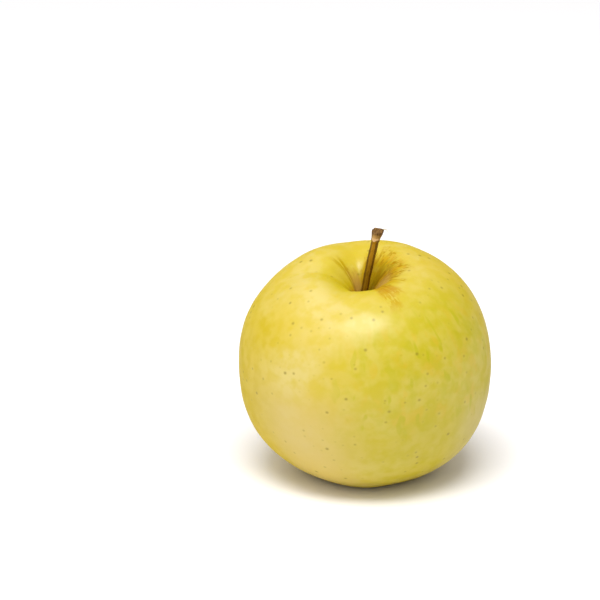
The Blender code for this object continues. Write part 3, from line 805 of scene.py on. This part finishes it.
# The calyx.
# What is left of the flower: five dried sepals that curl out of the basin, withered stamens between them
# and the dark cup that they all grow from.
SEPALS, SEPAL_ROWS, SEPAL_AROUND = 5, 40, 36
SEPAL_LENGTH, SEPAL_WIDTH, SEPAL_THICKNESS = 0.0064, 0.0031, 0.00030
SEPAL_RING_RADIUS, SEPAL_DROP = 0.0016, 0.0008
SEPAL_SPLAY, SEPAL_CURL, SEPAL_NOD = math.radians(31), 0.0011, 0.0006
SEPAL_TAPER, SEPAL_BELLY, SEPAL_THINNING, SEPAL_TROUGH = 0.75, 0.22, 0.5, 0.45
CRIMP, CRIMP_WAVES, EDGE_WAVE, EDGE_WAVES = 0.00012, 9, 0.08, 13
LEAST_SEPAL, SPLAY_SPREAD, TWIST_SPREAD = 0.82, math.radians(8), math.radians(30)
STAMENS, STAMEN_LENGTH, STAMEN_RADIUS, BEAD_RADIUS = 15, 0.0030, 0.00007, 0.00011
STAMEN_RINGS, STAMEN_ROOT, STAMEN_SPREAD, STAMEN_DROP = 20, 0.0004, 0.0011, 0.0010
BEAD_AT, BEAD_SHARE = 0.93, 0.05
CUP_RADIUS, CUP_ABOVE, CUP_BELOW = 0.0021, 0.0019, 0.0015
CUP_WALL, CUP_DISHED, CUP_DISH, CUP_WAIST, CUP_CLOSED = 0.6, 0.3, 0.0007, 0.04, 0.93
DRY_BROWN = (0.085, 0.050, 0.022)
DRY_GREY = (0.260, 0.200, 0.110)
DRY_FIBRES_TO_METRE = (2400, 600)
draw = np.random.default_rng(11)


def make_dry_material():
    """Dried leaf: brown with grey-green down along its fibres."""
    material = bpy.data.materials.new("dried_sepal")
    material.use_nodes = True
    tree = material.node_tree
    shader = tree.nodes["Principled BSDF"]
    place = node(tree, "TexCoord", {}).outputs["Object"]
    threads, relief = fibres(tree, place, *DRY_FIBRES_TO_METRE)
    colour = blended(tree, ramped(tree, threads, 0.35, 0.65), DRY_BROWN, DRY_GREY)
    tree.links.new(colour, shader.inputs["Base Color"])
    tree.links.new(ramped(tree, threads, 0.3, 0.7, 0.70, 0.95), shader.inputs["Roughness"])
    bump = node(tree, "Bump", {"Height": relief, "Strength": 0.7, "Distance": 0.00015})
    tree.links.new(bump.outputs[0], shader.inputs["Normal"])
    return material


def sepal_grid():
    """Five leaves, each a lens-shaped section carried along a line that runs down and out and curls with
    the cube of the length. The half width is a power of what is left of the length, the section is
    troughed, and both edges are crimped by sine waves. Each leaf draws its own length, splay and twist."""
    each = (SEPALS, 1, 1)
    down = np.linspace(0.03, 0.985, SEPAL_ROWS)[None, :, None]
    turn = (np.arange(SEPAL_AROUND) * math.tau / SEPAL_AROUND)[None, None, :]
    across = np.cos(turn)
    length = draw.uniform(LEAST_SEPAL, 1.0, each) * SEPAL_LENGTH
    splay = SEPAL_SPLAY + draw.uniform(-SPLAY_SPREAD, SPLAY_SPREAD, each)
    twisted = draw.uniform(-TWIST_SPREAD, TWIST_SPREAD, each) * down**2
    phase = draw.uniform(0, math.tau, each)
    half = SEPAL_WIDTH / 2 * (1 - down) ** SEPAL_TAPER * (1 + SEPAL_BELLY * np.sin(math.pi * down))
    side = half * across * (1 + EDGE_WAVE * np.sin(EDGE_WAVES * down + phase + 2 * across))
    crimp = CRIMP * np.sin(CRIMP_WAVES * down + phase) * across**3
    through = SEPAL_THICKNESS / 2 * np.sin(turn) * (1 - SEPAL_THINNING * down)
    through = through + crimp + SEPAL_TROUGH * half * across**2
    across_now = side * np.cos(twisted) - through * np.sin(twisted)
    through = side * np.sin(twisted) + through * np.cos(twisted)
    out = SEPAL_RING_RADIUS + length * np.sin(splay) * down + SEPAL_CURL * down**3 - through * np.cos(splay)
    drop = SEPAL_DROP + length * np.cos(splay) * down - SEPAL_NOD * down**4 - through * np.sin(splay)
    bearing = RIB_TURN + math.pi / RIBS + (np.arange(SEPALS) * math.tau / SEPALS)[:, None, None]
    x = out * np.cos(bearing) - across_now * np.sin(bearing)
    y = out * np.sin(bearing) + across_now * np.cos(bearing)
    return np.stack([x, y, np.broadcast_to(-drop, x.shape)], axis=-1) + eye_pole_stood


def stamen_grid():
    """Fine threads from the cup, each bent along a quarter of a sine and ending in a small bead."""
    step = np.linspace(0, 1, STAMEN_RINGS)[None, :]
    bearing = draw.uniform(0, math.tau, (STAMENS, 1))
    lean = draw.uniform(0.2, 1.0, (STAMENS, 1))
    size = draw.uniform(0.7, 1.1, (STAMENS, 1))
    out = STAMEN_ROOT + STAMEN_SPREAD * lean * np.sin(step * math.pi / 2) * size
    swing = bearing + draw.uniform(-0.8, 0.8, (STAMENS, 1)) * step**2
    drop = STAMEN_DROP + size * STAMEN_LENGTH * step
    path = np.stack([out * np.cos(swing), out * np.sin(swing), -drop], axis=-1) + eye_pole_stood
    thick = STAMEN_RADIUS + BEAD_RADIUS * bell(step - BEAD_AT, BEAD_SHARE)
    thick = np.broadcast_to(thick, (STAMENS, STAMEN_RINGS))[..., None]
    turn = (np.arange(8) * math.tau / 8)[None, None, :]
    rings, _ = carried(path, thick * np.cos(turn), thick * np.sin(turn))
    return rings, path


def cup_grid():
    """The cup: a turned button with a slight waist, whose lower face is dished inside a rim. Cosines round
    it make it uneven."""
    turn = (np.arange(40) * math.tau / 40)[None, :]
    down = np.linspace(0, 1, 30)[:, None]
    wall = np.clip(down / CUP_WALL, 0, 1)
    closing = eased((down - CUP_WALL) / (1 - CUP_WALL))
    radius = CUP_RADIUS * (1 - CUP_WAIST * np.sin(math.pi * wall) - CUP_CLOSED * closing)
    radius = radius * (1 + 0.03 * np.cos(5 * turn) + 0.02 * np.sin(11 * turn + 9 * down))
    drop = wall * (CUP_ABOVE + CUP_BELOW) - CUP_DISH * eased((down - CUP_WALL) / CUP_DISHED)
    height = np.broadcast_to(CUP_ABOVE - drop, radius.shape)
    return np.stack([radius * np.cos(turn), radius * np.sin(turn), height], axis=-1) + eye_pole_stood


dry = make_dry_material()
leaves = sepal_grid()
sepals = closed_surfaces("dried_sepals", leaves, leaves[:, 0].mean(axis=1), leaves[:, -1].mean(axis=1), dry)
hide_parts("calyx")
stamen_rings, stamen_paths = stamen_grid()
stamens = closed_surfaces("stamens", stamen_rings, stamen_paths[:, 0], stamen_paths[:, -1], dry)
cup = cup_grid()[None]
button = closed_surfaces("calyx_cup", cup, cup[:, 0].mean(axis=1), cup[:, -1].mean(axis=1), dry)
for piece in (sepals, stamens, button):
    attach(piece, "root")


# The camera, at the photograph's viewing angle: straight in front and 18 degrees up, with a long lens. The
# fruit's width and its middle in the photograph, in pixels, set the lens and the aim.
CAMERA_RISE = math.radians(18)
CAMERA_FAR = 0.700
FRAME_SIDE = 600
FRUIT_ACROSS, FRUIT_ACROSS_PIXELS = 0.075, 252.7
FRUIT_MIDDLE_PIXEL = (365.0, 368.0)
SENSOR = 36.0

scale = FRUIT_ACROSS_PIXELS / FRUIT_ACROSS
back = np.array([0.0, -math.cos(CAMERA_RISE), math.sin(CAMERA_RISE)])
up = np.array([0.0, math.sin(CAMERA_RISE), math.cos(CAMERA_RISE)])
across, down = (np.array(FRUIT_MIDDLE_PIXEL) - FRAME_SIDE / 2) / scale
aim = CORE - across * np.array([1.0, 0.0, 0.0]) + down * up
camera_data = bpy.data.cameras.new("camera")
camera_data.sensor_width = SENSOR
camera_data.lens = scale * CAMERA_FAR * SENSOR / FRAME_SIDE
camera = bpy.data.objects.new("camera", camera_data)
camera.location = aim + CAMERA_FAR * back
camera.rotation_euler = (math.pi / 2 - CAMERA_RISE, 0, 0)
bpy.context.scene.collection.objects.link(camera)
bpy.context.scene.camera = camera


# The floor and the light.
# A wide matt white sheet in a white room, with one large soft lamp high up, a little to the left in front.
# The room is brightest overhead and in front, and dimmest at the horizon and on the right.
SHEET_WHITE = (0.94, 0.93, 0.94, 1)
ROOM_WHITE = (1.0, 0.99, 0.98, 1)
HORIZON_LIGHT, ROOM_LIGHT, ROOM_RISE = 0.26, 1.02, (0.05, 0.85)
BACK_SHARE, FRONT_SHARE = 0.80, 1.36
LEFT_SHARE, RIGHT_SHARE = 1.02, 0.58
ROOM_TURN = 0.7
LAMP_RISE, LAMP_TURN = math.radians(68), math.radians(-9)
LAMP_FAR, LAMP_WIDE, LAMP_DEEP, LAMP_POWER = 1.60, 1.05, 0.62, 22.6

floor_mesh = bpy.data.meshes.new("floor")
floor_mesh.from_pydata([(-4, -4, 0), (4, -4, 0), (4, 8, 0), (-4, 8, 0)], [], [(0, 1, 2, 3)])
floor = bpy.data.objects.new("floor", floor_mesh)
bpy.context.scene.collection.objects.link(floor)
floor_material = bpy.data.materials.new("white_sheet")
floor_material.use_nodes = True
sheet = floor_material.node_tree.nodes["Principled BSDF"]
sheet.inputs["Base Color"].default_value = SHEET_WHITE
sheet.inputs["Roughness"].default_value = 0.8
floor_mesh.materials.append(floor_material)

world = bpy.data.worlds.new("white_room")
world.use_nodes = True
room = world.node_tree
sky = node(room, "SeparateXYZ", {0: node(room, "TexCoord", {}).outputs["Generated"]}).outputs
rise = ramped(room, sky["Z"], *ROOM_RISE, HORIZON_LIGHT, ROOM_LIGHT)
front = ramped(room, sky["Y"], ROOM_TURN, -ROOM_TURN, BACK_SHARE, FRONT_SHARE)
side = ramped(room, sky["X"], -ROOM_TURN, ROOM_TURN, LEFT_SHARE, RIGHT_SHARE)
background = room.nodes["Background"]
background.inputs["Color"].default_value = ROOM_WHITE
room.links.new(times(room, rise, front, side), background.inputs["Strength"])
bpy.context.scene.world = world

lamp_level = math.cos(LAMP_RISE)
lamp_way = (lamp_level * math.sin(LAMP_TURN), -lamp_level * math.cos(LAMP_TURN), math.sin(LAMP_RISE))
lamp_data = bpy.data.lights.new("soft_lamp", "AREA")
lamp_data.shape = "RECTANGLE"
lamp_data.size = LAMP_WIDE
lamp_data.size_y = LAMP_DEEP
lamp_data.energy = LAMP_POWER
lamp = bpy.data.objects.new("soft_lamp", lamp_data)
lamp.location = CORE + np.array(lamp_way) * LAMP_FAR
lamp.rotation_euler = (math.pi / 2 - LAMP_RISE, 0, LAMP_TURN)
bpy.context.scene.collection.objects.link(lamp)
